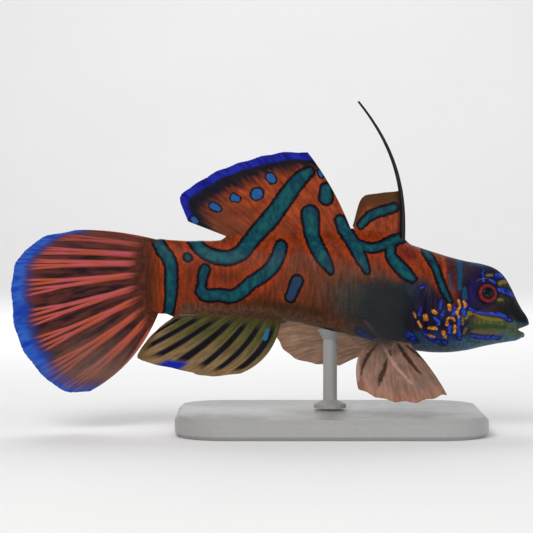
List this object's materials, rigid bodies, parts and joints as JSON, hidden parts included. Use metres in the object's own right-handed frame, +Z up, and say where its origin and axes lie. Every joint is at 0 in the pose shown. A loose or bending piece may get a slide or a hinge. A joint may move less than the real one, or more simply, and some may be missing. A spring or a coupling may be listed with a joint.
{
  "type": "mandarinfish model",
  "caption": "Life-size model of a male mandarinfish with spread fins and a thread-like first fin spine, hovering on one rod above a flat base.",
  "frame": {"origin": "middle of the underside of the stand's base, straight below the rod", "axes": "+X towards the snout, +Y towards the fish's left side, +Z up"},
  "size_m": [0.0778, 0.032, 0.0494],
  "materials": {
    "head_skin": "wet slime-coated skin, navy with blue and yellow marks",
    "body_skin": "wet slime-coated skin, orange with dark-edged teal bands",
    "eye": "clear domed eye with a red ring round a black pupil",
    "dorsal_fins": "thin membrane, orange with teal bands and a blue edge",
    "tail_fin": "thin membrane with pink-orange rays and a blue edge",
    "anal_fin": "thin membrane, khaki with black slanting stripes",
    "pectoral_fins": "thin clear membrane with fine grey rays",
    "pelvic_fins": "thin membrane, pinkish beige with brown streaks",
    "stand": "satin pale grey acrylic"
  },
  "bodies": {
    "root": {"head": "head_skin", "trunk": "body_skin", "tail_stalk": "body_skin", "eye_right": "eye", "eye_left": "eye", "dorsal_fin_second": "dorsal_fins", "dorsal_fin_first": "dorsal_fins", "anal_fin": "anal_fin", "caudal_fin": "tail_fin", "pectoral_fin_right": "pectoral_fins", "pectoral_fin_left": "pectoral_fins", "pelvic_fin_right": "pelvic_fins", "pelvic_fin_left": "pelvic_fins", "stand_base": "stand", "stand_rod": "stand"}
  },
  "joints": []
}
